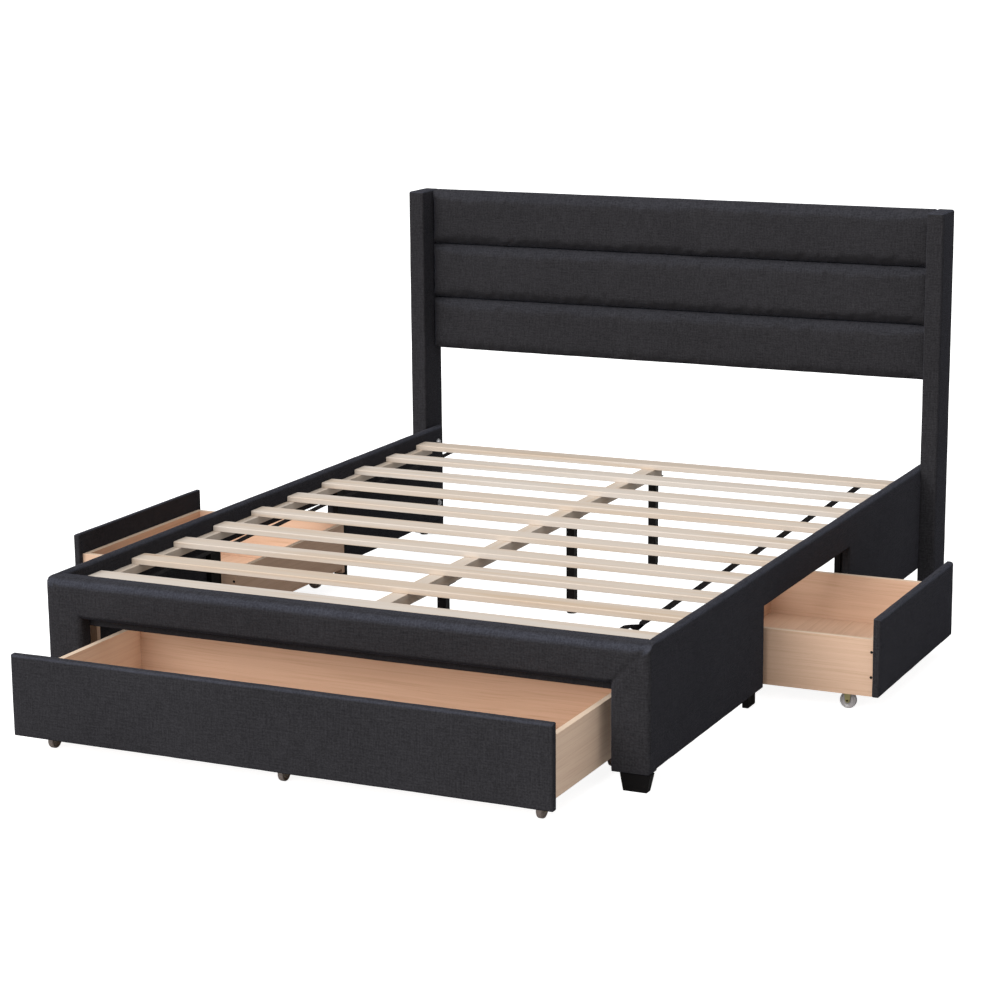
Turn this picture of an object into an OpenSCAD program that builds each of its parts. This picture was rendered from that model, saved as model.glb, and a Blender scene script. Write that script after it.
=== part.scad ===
// Upholstered queen-size platform bed with three drawers on casters.
// Millimetres, +Z up. The origin is on the floor under the middle leg of the
// centre beam. The footboard faces -Y and the headboard is at +Y.
// The drawers are drawn pulled out by foot_open, left_open and right_open.

/* [Frame] */
// Width over the outer faces of the side rails
bed_w = 1600; // [1584:2:1640]
// Distance from the footboard's front face to the front of the headboard wings
bed_l = 2090; // [2080:5:2120]
// Height of the top of the side rails
rail_top = 348; // [346:1:370]
// Height of the underside of the side rails
rail_bottom = 46; // [40:1:50]
// Thickness of an upholstered side rail
rail_t = 24; // [20:1:28]
// Height of the top of the footboard
foot_top = 346; // [340:1:370]
// Height of the underside of the footboard
foot_bottom = 42; // [36:1:46]
// Thickness of the upholstered footboard
foot_t = 64; // [50:1:70]
// Thickness of the footboard's front board, which its two legs are part of
foot_front_t = 42; // [36:1:46]
// Height of the top of the slats
slat_top = 318; // [314:1:330]

/* [Headboard] */
// Height of the top of the headboard
head_h = 1088; // [1000:5:1250]
// Thickness of a wing, across the bed
wing_t = 48; // [40:1:60]
// Depth of a wing, along the bed
wing_d = 117; // [110:1:140]
// Height of the lower edge of the headboard panel
panel_bottom = 599; // [520:1:640]
// Set-back of the panel's front from the front of the wings
panel_back = 60; // [50:1:66]
// Thickness of the padded channels
pad_t = 36; // [30:1:40]
// Height of the seam between the lowest and the middle channel
seam_low = 754; // [740:1:770]
// Height of the seam between the middle and the top channel
seam_high = 922; // [900:1:940]

/* [Slats] */
// Width of a slat
slat_w = 64; // [50:1:80]
// Thickness of a slat
slat_t = 15; // [12:1:18]
// Distance from the footboard's front face to the first slat
slat_first = 144; // [140:1:150]
// Distance from one slat to the next
slat_pitch = 202.5; // [200:0.5:205]

/* [Drawers] */
// Thickness of the laminated drawer boards
board_t = 15; // [12:1:16]
// Thickness of an upholstered drawer front
front_t = 18; // [16:1:22]
// Height of an upholstered drawer front
front_h = 200; // [180:1:204]
// Depth of a drawer from the face of its front to its back
drawer_d = 512; // [440:4:520]
// Underside of the drawer sides above the floor
box_bottom = 45; // [42:1:50]
// Top of the drawer sides above the floor
box_top = 190; // [150:1:200]
// Half of the wide foot drawer's front
foot_front_hw = 698; // [690:1:699]
// Half of a side drawer's front
side_front_hw = 324; // [320:1:326]
// Distance that the foot drawer is drawn pulled out
foot_open = 302; // [60:1:460]
// Distance that the left drawer is drawn pulled out
left_open = 440; // [60:1:460]
// Distance that the right drawer is drawn pulled out
right_open = 292; // [60:1:460]

/* [Casters] */
// Radius of a caster wheel
wheel_r = 21; // [17:0.5:22]
// Width of a caster wheel
wheel_w = 14; // [10:1:14]
// Radius of a caster axle
axle_r = 3; // [2:0.5:4]

/* [Hidden] */
$fn = 48;
slat_n = 10;
half_w = bed_w / 2;
inner_hw = half_w - rail_t;
mid_leg = 1400;               // middle leg from the footboard's front face
y_foot = -mid_leg;            // the footboard's front face in this frame
y_inner = y_foot + foot_t;
y_wing = y_foot + bed_l;
y_pad = y_wing + panel_back;
y_board = y_pad + pad_t;
headboard_t = 16;
rail_end = y_wing + 68;

foot_hole_hw = 702;           // half width of the footboard's opening
foot_hole_top = 246;
foot_bar_bottom = 221;        // underside of the footboard's rear bar
side_mid = y_foot + 1096;     // middle of the side openings
side_hole_hw = 340;
side_hole_top = 254;

ledger_w = 25;
ledger_h = 22;
slat_bottom = slat_top - slat_t;
ledger_bottom = slat_bottom - ledger_h;
slat_hl = inner_hw - 3;
strap_left = 658;
strap_right = 650;
strap_w = 22;
strap_t = 1.5;

beam_w = 42;
beam_h = 30;
beam_bottom = slat_bottom - beam_h;
beam_start = y_inner + 4;
beam_end = y_foot + slat_first + (slat_n - 1) * slat_pitch + slat_w;
leg_w = 24;
leg_wall = 2;
leg_y = [y_foot + 586, 0, y_foot + 2013];
glide_h = 6;

post_t = 16;
post_w = 52;
post_hw = side_hole_hw - 8;   // the posts stand 8 into the side openings
block_t = 15;
block_end = y_inner + 93;
bolt_z = [104, 300];
bolt_y = y_foot + 2125;

box_inset = 25;               // foot drawer: box side in from the front's end
side_inset = 16;              // side drawers: the same
floor_z = 58;                 // underside of the drawer bottoms
floor_t = 6;
groove = 6;
foot_front_z = 38;
side_front_z = 48;
foot_caster_in = 60;          // front casters behind the face of the foot drawer
side_caster_in = 92;          // the same for the side drawers
foot_caster_back = 50;        // rear casters ahead of the foot drawer's back
side_caster_back = 74;        // the same for the side drawers
cheek_t = 2;
plate_w = 26;
plate_l = 44;

fabric = [0.17, 0.17, 0.19];
pine = [0.93, 0.86, 0.76];
beech = [0.82, 0.68, 0.56];
black = [0.06, 0.06, 0.06];
zinc = [0.78, 0.74, 0.58];
clear_grey = [0.75, 0.75, 0.76];

// Box between two opposite corners.
module block(lo, hi) {
    translate(lo) cube(hi - lo);
}

// Rectangle from (0, 0) with corner radii for the bottom and the top edges.
module round_rect(w, h, r_low, r_top) {
    union() {
        translate([0, r_low]) square([w, h - r_low - r_top]);
        translate([r_top, h - r_top]) square([w - 2 * r_top, r_top]);
        translate([r_low, 0]) square([w - 2 * r_low, r_low]);
        for (x = [r_top, w - r_top]) translate([x, h - r_top]) circle(r_top);
        for (x = [r_low, w - r_low]) translate([x, r_low]) circle(r_low);
    }
}

// Profile in YZ swept along X from x0, its corner at y0, z0.
module along_x(x0, length, y0, z0) {
    translate([x0, y0, z0]) rotate([90, 0, 90]) linear_extrude(length) children();
}

// Profile in XZ swept along Y from y0, its corner at x0, z0.
module along_y(y0, length, x0, z0) {
    translate([x0, y0 + length, z0]) rotate([90, 0, 0]) linear_extrude(length) children();
}

module on_side(side) {
    if (side < 0) mirror([1, 0, 0]) children();
    else children();
}

// ---- Headboard

module headboard_board() {
    color(fabric) block([-half_w, y_board, panel_bottom], [half_w, y_board + headboard_t, head_h]);
}

// One of the three padded channels, counted from the lowest.
module headboard_channel(level) {
    seams = [panel_bottom, seam_low, seam_high, head_h];
    channel_h = seams[level + 1] - seams[level];
    color(fabric) along_x(-half_w, bed_w, y_pad, seams[level])
        union() {
            round_rect(pad_t, channel_h, 14, 14);
            translate([pad_t / 2, 0]) square([pad_t / 2, channel_h]);
        }
}

module wing(side) {
    color(fabric) on_side(side) difference() {
        translate([half_w, y_wing, glide_h]) linear_extrude(head_h - glide_h)
            round_rect(wing_t, wing_d, 6, 6);
        for (z = bolt_z) translate([half_w - 1, bolt_y, z]) rotate([0, 90, 0])
            cylinder(r = 4.5, h = wing_t - 7);
    }
}

// ---- Side rails and footboard

module side_rail(side) {
    color(fabric) on_side(side) difference() {
        along_y(y_inner, rail_end - y_inner, inner_hw, rail_bottom)
            round_rect(rail_t, rail_top - rail_bottom, 4, 9);
        block([inner_hw - 1, side_mid - side_hole_hw, rail_bottom - 1],
            [half_w + 1, side_mid + side_hole_hw, side_hole_top]);
        for (z = bolt_z) translate([inner_hw - 1, bolt_y, z]) rotate([0, 90, 0])
            cylinder(r = 4.5, h = rail_t + 2);
    }
}

// A front board with two legs, and a bar behind it that reaches lower across the opening.
module footboard() {
    color(fabric) difference() {
        along_x(-half_w, bed_w, y_foot, foot_bottom)
            round_rect(foot_t, foot_top - foot_bottom, 6, 18);
        block([-foot_hole_hw, y_foot - 1, foot_bottom - 1],
            [foot_hole_hw, y_foot + foot_front_t, foot_hole_top]);
        block([-inner_hw, y_foot + foot_front_t, foot_bottom - 1],
            [inner_hw, y_inner + 1, foot_bar_bottom]);
    }
}

// Two uprights that line each side opening, carry the ledger and stand on the floor.
module guide_posts(side) {
    color(black) on_side(side) for (end = [-1, 1]) translate([0, side_mid, 0]) {
        y = end * (post_hw + post_w / 2);
        block([inner_hw - post_t, y - post_w / 2, 0], [inner_hw, y + post_w / 2, ledger_bottom]);
    }
}

// Boards that prop the ledgers near the foot end.
module corner_blocks() {
    color(beech) for (side = [-1, 1]) on_side(side)
        block([inner_hw - ledger_w, block_end - block_t, rail_bottom],
            [inner_hw, block_end, ledger_bottom]);
}

// Tapered feet under the two ends of the footboard.
module corner_feet() {
    color(black) for (side = [-1, 1]) on_side(side) translate([half_w - 37, y_foot + 3, 0])
        hull() {
            translate([-29, 0, 0]) cube([58, 22, 1]);
            translate([-37, 0, foot_bottom - 1]) cube([74, 28, 1]);
        }
}

module rail_bolt() {
    rotate([0, 90, 0]) cylinder(r = 4, h = 56);
    translate([-1.6, 0, 0]) rotate([0, 90, 0]) cylinder(r = 10, h = 1.6);
    translate([-6.6, 0, 0]) rotate([0, 90, 0]) difference() {
        cylinder(r = 6.5, h = 5.1);
        translate([0, 0, -1]) cylinder(r = 2.9, h = 4, $fn = 6);
    }
}

module rail_bolts() {
    color(zinc) for (side = [-1, 1], z = bolt_z)
        on_side(side) translate([inner_hw, bolt_y, z]) rail_bolt();
}

// ---- Slat deck

module ledger(side) {
    color(pine) on_side(side) block([inner_hw - ledger_w, y_inner, ledger_bottom],
        [inner_hw, beam_end + 4, slat_bottom]);
}

module slat(number) {
    y = y_foot + slat_first + (number - 1) * slat_pitch;
    color(pine) along_x(-slat_hl, 2 * slat_hl, y, slat_bottom)
        round_rect(slat_w, slat_t, 1.5, 2.5);
}

// Webbing under the slats. The right strap steps in between the first two slats.
module slat_straps() {
    y1 = y_foot + slat_first;
    y2 = y1 + slat_pitch;
    x_in = strap_right - strap_w / 2;
    step = 24;
    color(black) translate([0, 0, slat_bottom - strap_t]) {
        translate([-strap_left - strap_w / 2, y1, 0]) cube([strap_w, beam_end - y1, strap_t]);
        linear_extrude(strap_t) polygon([
            [x_in - step, y1], [x_in - step + strap_w, y1], [x_in - step + strap_w, y2 - 60],
            [x_in + strap_w, y2 - 30], [x_in + strap_w, beam_end], [x_in, beam_end],
            [x_in, y2 - 24], [x_in - step, y2 - 54]]);
    }
}

module centre_beam() {
    color(pine) block([-beam_w / 2, beam_start, beam_bottom], [beam_w / 2, beam_end, slat_bottom]);
}

// Steel cradle on the back of the footboard that holds the beam's end.
module beam_hanger() {
    wall = 2;
    x = beam_w / 2;
    color(black) {
        block([-x - 18, y_inner, beam_bottom - 14], [x + 18, y_inner + wall, slat_bottom - 2]);
        block([-x - wall, y_inner + wall, beam_bottom - wall], [x + wall, y_inner + 46, beam_bottom]);
        for (side = [-1, 1]) on_side(side)
            block([x, y_inner + wall, beam_bottom], [x + wall, y_inner + 46, slat_bottom - 4]);
    }
}

// Square tube with a screw plate under the beam.
module centre_leg(number) {
    y = leg_y[number];
    w = leg_w / 2;
    inner = w - leg_wall;
    color(black) {
        difference() {
            block([-w, y - w, glide_h], [w, y + w, beam_bottom - 2]);
            block([-inner, y - inner, glide_h - 1], [inner, y + inner, beam_bottom - 4]);
        }
        block([-20, y - 34, beam_bottom - 2], [20, y + 34, beam_bottom]);
    }
}

// Pads between the floor and the three centre legs and two wings.
module floor_glides() {
    color(black) {
        for (y = leg_y) translate([0, y, 0]) cylinder(r = 14, h = glide_h);
        for (side = [-1, 1], y = [24, wing_d - 24]) on_side(side)
            translate([half_w + wing_t / 2, y_wing + y, 0]) cylinder(r = 12, h = glide_h);
    }
}

// ---- Drawers
// A drawer is drawn in its own frame: its front faces -Y at y = 0 and it reaches
// back to y = drawer_d. hw is half the width over the box sides.

module drawer_front(front_hw, z) {
    color(fabric) translate([-front_hw, 0, z]) rotate([90, 0, 90])
        linear_extrude(2 * front_hw) round_rect(front_t, front_h, 5, 5);
}

module drawer_box_front(hw) {
    color(beech) difference() {
        block([board_t - hw, front_t, box_bottom], [hw - board_t, front_t + board_t, box_top]);
        block([-hw, front_t + board_t - groove, floor_z],
            [hw, front_t + board_t + 1, floor_z + floor_t]);
    }
}

module drawer_side(hw, side) {
    color(beech) on_side(side) difference() {
        block([hw - board_t, front_t, box_bottom], [hw, drawer_d, box_top]);
        block([hw - board_t - 1, front_t + board_t - groove, floor_z],
            [hw - board_t + groove, drawer_d + 1, floor_z + floor_t]);
    }
}

module drawer_back(hw) {
    color(beech) block([board_t - hw, drawer_d - board_t, floor_z + floor_t],
        [hw - board_t, drawer_d, box_top]);
}

module drawer_bottom(hw) {
    x = hw - board_t + groove;
    color(beech) block([-x, front_t + board_t - groove, floor_z], [x, drawer_d, floor_z + floor_t]);
}

// Screw plate, two cheeks and the riveted axle of one caster.
module caster_frame() {
    gap = wheel_w / 2 + 1;
    color(zinc) {
        block([-plate_w / 2, -plate_l / 2, floor_z - 2], [plate_w / 2, plate_l / 2, floor_z]);
        for (side = [-1, 1]) on_side(side) translate([gap, 0, 0]) rotate([90, 0, 90])
            linear_extrude(cheek_t) union() {
                polygon([[-6, wheel_r], [6, wheel_r], [11, floor_z - 1], [-11, floor_z - 1]]);
                translate([0, wheel_r]) circle(6);
            }
        translate([-gap - cheek_t - 1.5, 0, wheel_r]) rotate([0, 90, 0])
            cylinder(r = axle_r, h = 2 * (gap + cheek_t + 1.5));
    }
}

module caster_wheel() {
    color(clear_grey) translate([-wheel_w / 2, 0, wheel_r]) rotate([0, 90, 0]) difference() {
        cylinder(r = wheel_r, h = wheel_w);
        translate([0, 0, -1]) cylinder(r = axle_r + 0.05, h = wheel_w + 2);
        for (z = [-1, wheel_w - 3]) translate([0, 0, z]) difference() {
            cylinder(r = wheel_r - 4, h = 4);
            cylinder(r = axle_r + 4, h = 4);
        }
    }
}

foot_row = foot_caster_in;
foot_rear_row = drawer_d - foot_caster_back;
front_row = side_caster_in;
rear_row = drawer_d - side_caster_back;

module at_casters(columns, rows) {
    for (x = columns, y = rows) translate([x, y, 0]) children();
}

foot_hw = foot_front_hw - box_inset;
side_hw = side_front_hw - side_inset;
foot_columns = [board_t + 34 - foot_hw, 0, foot_hw - board_t - 13];
side_columns = [board_t + 18 - side_hw, side_hw - board_t - 18];
rear_columns = [board_t + 31 - side_hw, side_hw - board_t - 31];

module place_foot() {
    translate([0, y_foot - foot_open, 0]) children();
}

module place_left() {
    translate([-half_w - left_open, side_mid, 0]) rotate([0, 0, -90]) children();
}

module place_right() {
    translate([half_w + right_open, side_mid, 0]) rotate([0, 0, 90]) children();
}

headboard_board();
headboard_channel(2);  // headboard_channel_top
headboard_channel(1);  // headboard_channel_middle
headboard_channel(0);  // headboard_channel_bottom
wing(-1);  // wing_left
wing(1);  // wing_right
side_rail(-1);  // side_rail_left
side_rail(1);  // side_rail_right
footboard();
ledger(-1);  // ledger_left
ledger(1);  // ledger_right
for (number = [1 : slat_n])
    slat(number);
slat_straps();
centre_beam();
beam_hanger();
centre_leg(0);  // centre_leg_front
centre_leg(1);  // centre_leg_middle
centre_leg(2);  // centre_leg_rear
guide_posts(-1);  // guide_posts_left
guide_posts(1);  // guide_posts_right
corner_blocks();
corner_feet();
floor_glides();
rail_bolts();

place_foot() drawer_front(foot_front_hw, foot_front_z);  // foot_drawer_front
place_foot() drawer_box_front(foot_hw);  // foot_drawer_box_front
place_foot() drawer_side(foot_hw, -1);  // foot_drawer_side_left
place_foot() drawer_side(foot_hw, 1);  // foot_drawer_side_right
place_foot() drawer_back(foot_hw);  // foot_drawer_back
place_foot() drawer_bottom(foot_hw);  // foot_drawer_bottom
place_foot() at_casters(foot_columns, [foot_row, foot_rear_row]) caster_frame();  // foot_drawer_casters
place_foot() at_casters(foot_columns, [foot_row]) caster_wheel();  // foot_drawer_wheels_front
place_foot() at_casters(foot_columns, [foot_rear_row]) caster_wheel();  // foot_drawer_wheels_rear

place_left() drawer_front(side_front_hw, side_front_z);  // left_drawer_front
place_left() drawer_box_front(side_hw);  // left_drawer_box_front
place_left() drawer_side(side_hw, 1);  // left_drawer_side_foot_end
place_left() drawer_side(side_hw, -1);  // left_drawer_side_head_end
place_left() drawer_back(side_hw);  // left_drawer_back
place_left() drawer_bottom(side_hw);  // left_drawer_bottom
place_left() {  // left_drawer_casters
        at_casters(side_columns, [front_row]) caster_frame();
        at_casters(rear_columns, [rear_row]) caster_frame();
    }
place_left() at_casters(side_columns, [front_row]) caster_wheel();  // left_drawer_wheels_front
place_left() at_casters(rear_columns, [rear_row]) caster_wheel();  // left_drawer_wheels_rear

place_right() drawer_front(side_front_hw, side_front_z);  // right_drawer_front
place_right() drawer_box_front(side_hw);  // right_drawer_box_front
place_right() drawer_side(side_hw, -1);  // right_drawer_side_foot_end
place_right() drawer_side(side_hw, 1);  // right_drawer_side_head_end
place_right() drawer_back(side_hw);  // right_drawer_back
place_right() drawer_bottom(side_hw);  // right_drawer_bottom
place_right() {  // right_drawer_casters
        at_casters(side_columns, [front_row]) caster_frame();
        at_casters(rear_columns, [rear_row]) caster_frame();
    }
place_right() at_casters(side_columns, [front_row]) caster_wheel();  // right_drawer_wheels_front
place_right() at_casters(rear_columns, [rear_row]) caster_wheel();  // right_drawer_wheels_rear
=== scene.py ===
import math

import bpy
import numpy as np
from mathutils import Matrix, Vector, noise


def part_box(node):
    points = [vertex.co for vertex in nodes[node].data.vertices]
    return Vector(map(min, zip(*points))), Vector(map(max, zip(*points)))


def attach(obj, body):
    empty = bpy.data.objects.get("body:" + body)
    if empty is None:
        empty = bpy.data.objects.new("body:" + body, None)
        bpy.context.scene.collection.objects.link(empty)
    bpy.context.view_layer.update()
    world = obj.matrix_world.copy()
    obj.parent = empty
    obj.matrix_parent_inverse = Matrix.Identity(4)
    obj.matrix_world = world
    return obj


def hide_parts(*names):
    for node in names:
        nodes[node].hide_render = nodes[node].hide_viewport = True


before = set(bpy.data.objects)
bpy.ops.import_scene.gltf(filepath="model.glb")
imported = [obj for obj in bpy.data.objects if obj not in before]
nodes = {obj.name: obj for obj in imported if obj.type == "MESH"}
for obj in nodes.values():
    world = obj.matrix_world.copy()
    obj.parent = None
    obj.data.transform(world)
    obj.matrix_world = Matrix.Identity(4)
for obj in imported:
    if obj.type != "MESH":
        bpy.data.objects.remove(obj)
noise.seed_set(7)     # without a seed, the covers' slight waves differ from run to run
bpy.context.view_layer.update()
print("stage: frame loaded,", len(nodes), "nodes")

# camera, floor and light

camera = {
    "place": (2.9469, -6.7509, 1.9398),
    "yaw": 24.848, "pitch": 12.929, "roll": -0.389,   # degrees
    "lens": 97.095,        # mm on a 36 mm sensor
    "shift": (-0.0137, 0.0267),
}
studio = {
    "floor": 0.5, "floorGlow": 0.9, "floorSize": 240.0,
    "world": 0.30,
    "keyFrom": (-0.28, -1.0, 0.62), "keyPower": 3.06, "keySoft": 50.0,
    "topFrom": (-0.2, -0.1, 1.0), "topPower": 1.15, "topSoft": 80.0,
    "sideFrom": (1.0, -0.35, 0.5), "sidePower": 0.22, "sideSoft": 70.0,
}


def makeCamera():
    yaw, pitch, roll = (math.radians(camera[k]) for k in ("yaw", "pitch", "roll"))
    look = Vector((-math.sin(yaw) * math.cos(pitch), math.cos(yaw) * math.cos(pitch), -math.sin(pitch)))
    right = Vector((math.cos(yaw), math.sin(yaw), 0))
    up = right.cross(look)
    side = right * math.cos(roll) + up * math.sin(roll)
    top = up * math.cos(roll) - right * math.sin(roll)
    turn = Matrix((side, top, -look)).transposed().to_4x4()
    data = bpy.data.cameras.new("camera")
    data.lens, data.sensor_width = camera["lens"], 36
    data.shift_x, data.shift_y = camera["shift"]
    data.clip_end = 500
    eye = bpy.data.objects.new("camera", data)
    eye.matrix_world = Matrix.Translation(camera["place"]) @ turn
    bpy.context.scene.collection.objects.link(eye)
    bpy.context.scene.camera = eye


def makeSun(name, comesFrom, power, soft):
    data = bpy.data.lights.new(name, "SUN")
    data.energy, data.angle = power, math.radians(soft)
    lamp = bpy.data.objects.new(name, data)
    lamp.matrix_world = Vector(comesFrom).to_track_quat("Z", "Y").to_matrix().to_4x4()
    bpy.context.scene.collection.objects.link(lamp)


makeCamera()
makeSun("keyLight", studio["keyFrom"], studio["keyPower"], studio["keySoft"])
makeSun("topLight", studio["topFrom"], studio["topPower"], studio["topSoft"])
makeSun("sideLight", studio["sideFrom"], studio["sidePower"], studio["sideSoft"])
world = bpy.data.worlds.new("studio")
world.use_nodes = True
world.node_tree.nodes["Background"].inputs["Color"].default_value = (1, 1, 1, 1)
world.node_tree.nodes["Background"].inputs["Strength"].default_value = studio["world"]
bpy.context.scene.world = world
bpy.context.scene.view_settings.view_transform = "Standard"

# shader helpers


class Wire:
    # one output socket, with the arithmetic that the materials use
    def __init__(self, look, socket):
        self.look, self.socket = look, socket

    def sum(self, kind, *values):
        return self.look.add("ShaderNodeMath", {"operation": kind}, dict(enumerate(values)))

    def __add__(self, other): return self.sum("ADD", self, other)
    def __radd__(self, other): return self.sum("ADD", other, self)
    def __sub__(self, other): return self.sum("SUBTRACT", self, other)
    def __rsub__(self, other): return self.sum("SUBTRACT", other, self)
    def __mul__(self, other): return self.sum("MULTIPLY", self, other)
    def __truediv__(self, other): return self.sum("DIVIDE", self, other)
    def __gt__(self, other): return self.sum("GREATER_THAN", self, other)
    def __abs__(self): return self.sum("ABSOLUTE", self)

    def sine(self): return self.sum("SINE", self)
    def floor(self): return self.sum("FLOOR", self)

    def between(self, low, high):
        # 0 below low, 1 above high, smooth in the middle
        return self.look.add("ShaderNodeMapRange", {"interpolation_type": "SMOOTHSTEP"},
                             {"Value": self, "From Min": low, "From Max": high}, "Result")


class Look:
    # one material: a Principled shader and the nodes that feed it
    def __init__(self, name, **fixed):
        self.material = bpy.data.materials.new(name)
        self.material.use_nodes = True
        self.tree = self.material.node_tree
        self.shader = self.tree.nodes["Principled BSDF"]
        for socket, value in fixed.items():
            self.shader.inputs[socket.replace("_", " ")].default_value = value

    def add(self, kind, settings=None, values=None, out=0):
        made = self.tree.nodes.new(kind)
        for key, value in (settings or {}).items():
            setattr(made, key, value)
        for socket, value in (values or {}).items():
            if isinstance(value, Wire):
                self.tree.links.new(value.socket, made.inputs[socket])
            else:
                made.inputs[socket].default_value = value
        return Wire(self, made.outputs[out])

    def mix(self, share, a, b):
        a, b = ((*v, 1) if isinstance(v, tuple) else v for v in (a, b))
        return self.add("ShaderNodeMix", {"data_type": "RGBA"}, {0: share, 6: a, 7: b}, 2)

    def noise(self, x, y, z, detail=2.0, rough=0.5, warp=0.0):
        place = self.add("ShaderNodeCombineXYZ", None, {0: x, 1: y, 2: z})
        return self.add("ShaderNodeTexNoise", None, {"Vector": place, "Scale": 1.0, "Detail": detail,
                                                     "Roughness": rough, "Distortion": warp})

    def axes(self, source="Object"):
        coords = self.add("ShaderNodeTexCoord", None, None, source)
        return [self.add("ShaderNodeSeparateXYZ", None, {0: coords}, k) for k in range(3)]

    def feed(self, socket, wire):
        self.tree.links.new(wire.socket, self.shader.inputs[socket])

    def bump(self, height, distance, strength=1.0):
        self.feed("Normal", self.add("ShaderNodeBump", None, {"Height": height, "Distance": distance,
                                                              "Strength": strength}))


# materials

fabric = {
    "dark": (0.0140, 0.0134, 0.0146), "light": (0.0430, 0.0415, 0.0455),
    # Painted sheen: the next two colours, for cloth that turns up, are lighter and bluer and paint a
    # highlight along the upper rounded edges.
    "sheenPaintDark": (0.0235, 0.0240, 0.0300), "sheenPaintLight": (0.0620, 0.0640, 0.0790),   # cloth that turns up
    # Painted shade: cloth that turns down gets this darker colour.
    "under": (0.009, 0.0085, 0.009),                                            # cloth that turns down
    "thread": 0.00125,     # pitch of the threads
    "gloss": 0.0, "sheen": 0.08, "sheenTint": (0.74, 0.77, 1.0, 1),
}
# The headboard channels get a milder painted sheen and a milder painted shade.
channelFabric = {**fabric, "sheenPaintDark": (0.0165, 0.0163, 0.0190), "sheenPaintLight": (0.0480, 0.0475, 0.0545),
                 "under": (0.0205, 0.0195, 0.0210)}


def linenLook(name, spec):
    look = Look(name, Roughness=0.86, Specular_IOR_Level=spec["gloss"], Sheen_Weight=spec["sheen"],
                Sheen_Roughness=0.38, Sheen_Tint=spec["sheenTint"])
    x, y, z = look.axes()
    nx, ny, nz = look.axes("Normal")
    onSide, onTop = abs(nx) > 0.707, abs(nz) > 0.707
    u = x + onSide * (y - x)
    v = z + onTop * (y - z)
    offset = onSide * 3.1 + onTop * 5.3
    drift = look.noise(u * 60, v * 60, offset, 1.0) * 0.0009
    across = ((u + drift) * (math.pi / spec["thread"])).sine()
    upward = ((v + drift) * (math.pi / spec["thread"])).sine()
    over = (across * upward).between(-0.25, 0.25)
    weave = abs(across) * over + abs(upward) * (1 - over)
    slubU = look.noise(u * 34, v * 560, offset, 3.0, 0.62)
    slubV = look.noise(u * 560, v * 34, offset + 9, 3.0, 0.62)
    broadU = look.noise(u * 22, v * 260, offset + 4, 2.0)
    broadV = look.noise(u * 260, v * 22, offset + 6, 2.0)
    mottle = look.noise(u * 190, v * 230, offset + 2, 2.0, 0.6)
    cloud = look.noise(x * 5, y * 5, z * 5, 2.0)
    slubs = slubU.between(0.35, 0.66) * over + slubV.between(0.35, 0.66) * (1 - over)
    broad = (broadU + broadV) * 0.5
    tone = slubs * 0.28 + broad.between(0.36, 0.64) * 0.26 + mottle.between(0.34, 0.66) * 0.34
    tone = tone + 0.06 + (cloud - 0.5) * 0.3 + (weave - 0.6) * 0.2
    colour = look.mix(tone, spec["dark"], spec["light"])
    # Painted sheen: a lighter, bluer copy of the cloth colour is laid on surfaces that turn up, as a painted
    # highlight. The flattest tops keep most of the plain colour.
    paintedSheen = look.mix(tone, spec["sheenPaintDark"], spec["sheenPaintLight"])
    turnedUp = nz.between(0.10, 0.55) * (1 - nz.between(0.72, 0.97) * 0.8)
    colour = look.mix(turnedUp, colour, paintedSheen)
    # Painted shade: surfaces that face down are darkened towards the under colour.
    look.feed("Base Color", look.mix(nz.between(-0.75, -0.12), spec["under"], colour))
    look.feed("Roughness", 0.8 + weave * 0.14)
    look.bump(weave * 0.7 + slubs * 0.5 + broad * 0.3, 0.0005, 0.8)
    return look.material


pine = {
    "pale": (0.615, 0.550, 0.487), "warm": (0.555, 0.425, 0.308), "knot": (0.30, 0.17, 0.10),
    "boardPitch": 0.2025, "gloss": 0.62,
}
beech = {
    "pale": (0.66, 0.445, 0.315), "dark": (0.53, 0.335, 0.215), "edge": (0.70, 0.56, 0.43),
    "gloss": 0.5,
}
# Painted light: a lighter copy of the same beech for the sides of the foot drawer, standing in for light
# those sides lack.
beechPaintedLit = {**beech, "pale": (0.96, 0.72, 0.54), "dark": (0.82, 0.57, 0.415)}   # sides of the foot drawer


def alongFirst(look, along):
    # object axes with the grain's direction first
    x, y, z = look.axes()
    return {"x": (x, y, z), "y": (y, x, z), "z": (z, x, y)}[along]


def pineLook(name, along, spec):
    look = Look(name, Roughness=spec["gloss"], Specular_IOR_Level=0.35)
    a, b, c = alongFirst(look, along)
    board = ((b + 0.05) / spec["boardPitch"]).floor() * 7.3
    rings = look.noise(a * 1.6 + board, b * 46, c * 46, 4.0, 0.55, 0.6)
    heart = look.noise(a * 0.9 + board, b * 13, c * 13, 1.5)
    fibre = look.noise(a * 22 + board, b * 900, c * 900, 2.0)
    streak = rings.between(0.45, 0.68)
    cells = look.add("ShaderNodeCombineXYZ", None, {0: a * 2.3 + board, 1: b * 15.0, 2: c * 3.0})
    spots = {"feature": "F1", "voronoi_dimensions": "3D"}
    spot = look.add("ShaderNodeTexVoronoi", spots, {"Vector": cells, "Scale": 1.0}, "Distance")
    pick = look.add("ShaderNodeTexVoronoi", spots, {"Vector": cells, "Scale": 1.0}, "Color")
    red = look.add("ShaderNodeSeparateColor", None, {0: pick})
    knot = (1 - spot.between(0.035, 0.10)) * (red > 0.72)
    halo = (1 - spot.between(0.05, 0.30)) * (red > 0.72)
    hue = look.noise(board * 0.37, 3.1, 1.7, 0.0)     # each board has its own tone
    tone = streak * 0.46 + heart.between(0.42, 0.75) * 0.35 + fibre * 0.14 + halo * 0.3 + (hue - 0.5) * 0.9
    colour = look.mix(tone, spec["pale"], spec["warm"])
    look.feed("Base Color", look.mix(knot * 0.75, colour, spec["knot"]))
    look.feed("Roughness", spec["gloss"] - 0.1 + fibre * 0.2)
    look.bump(fibre * 0.6 + streak * 0.3 + knot * 0.5, 0.00035, 0.7)
    return look.material


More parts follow.
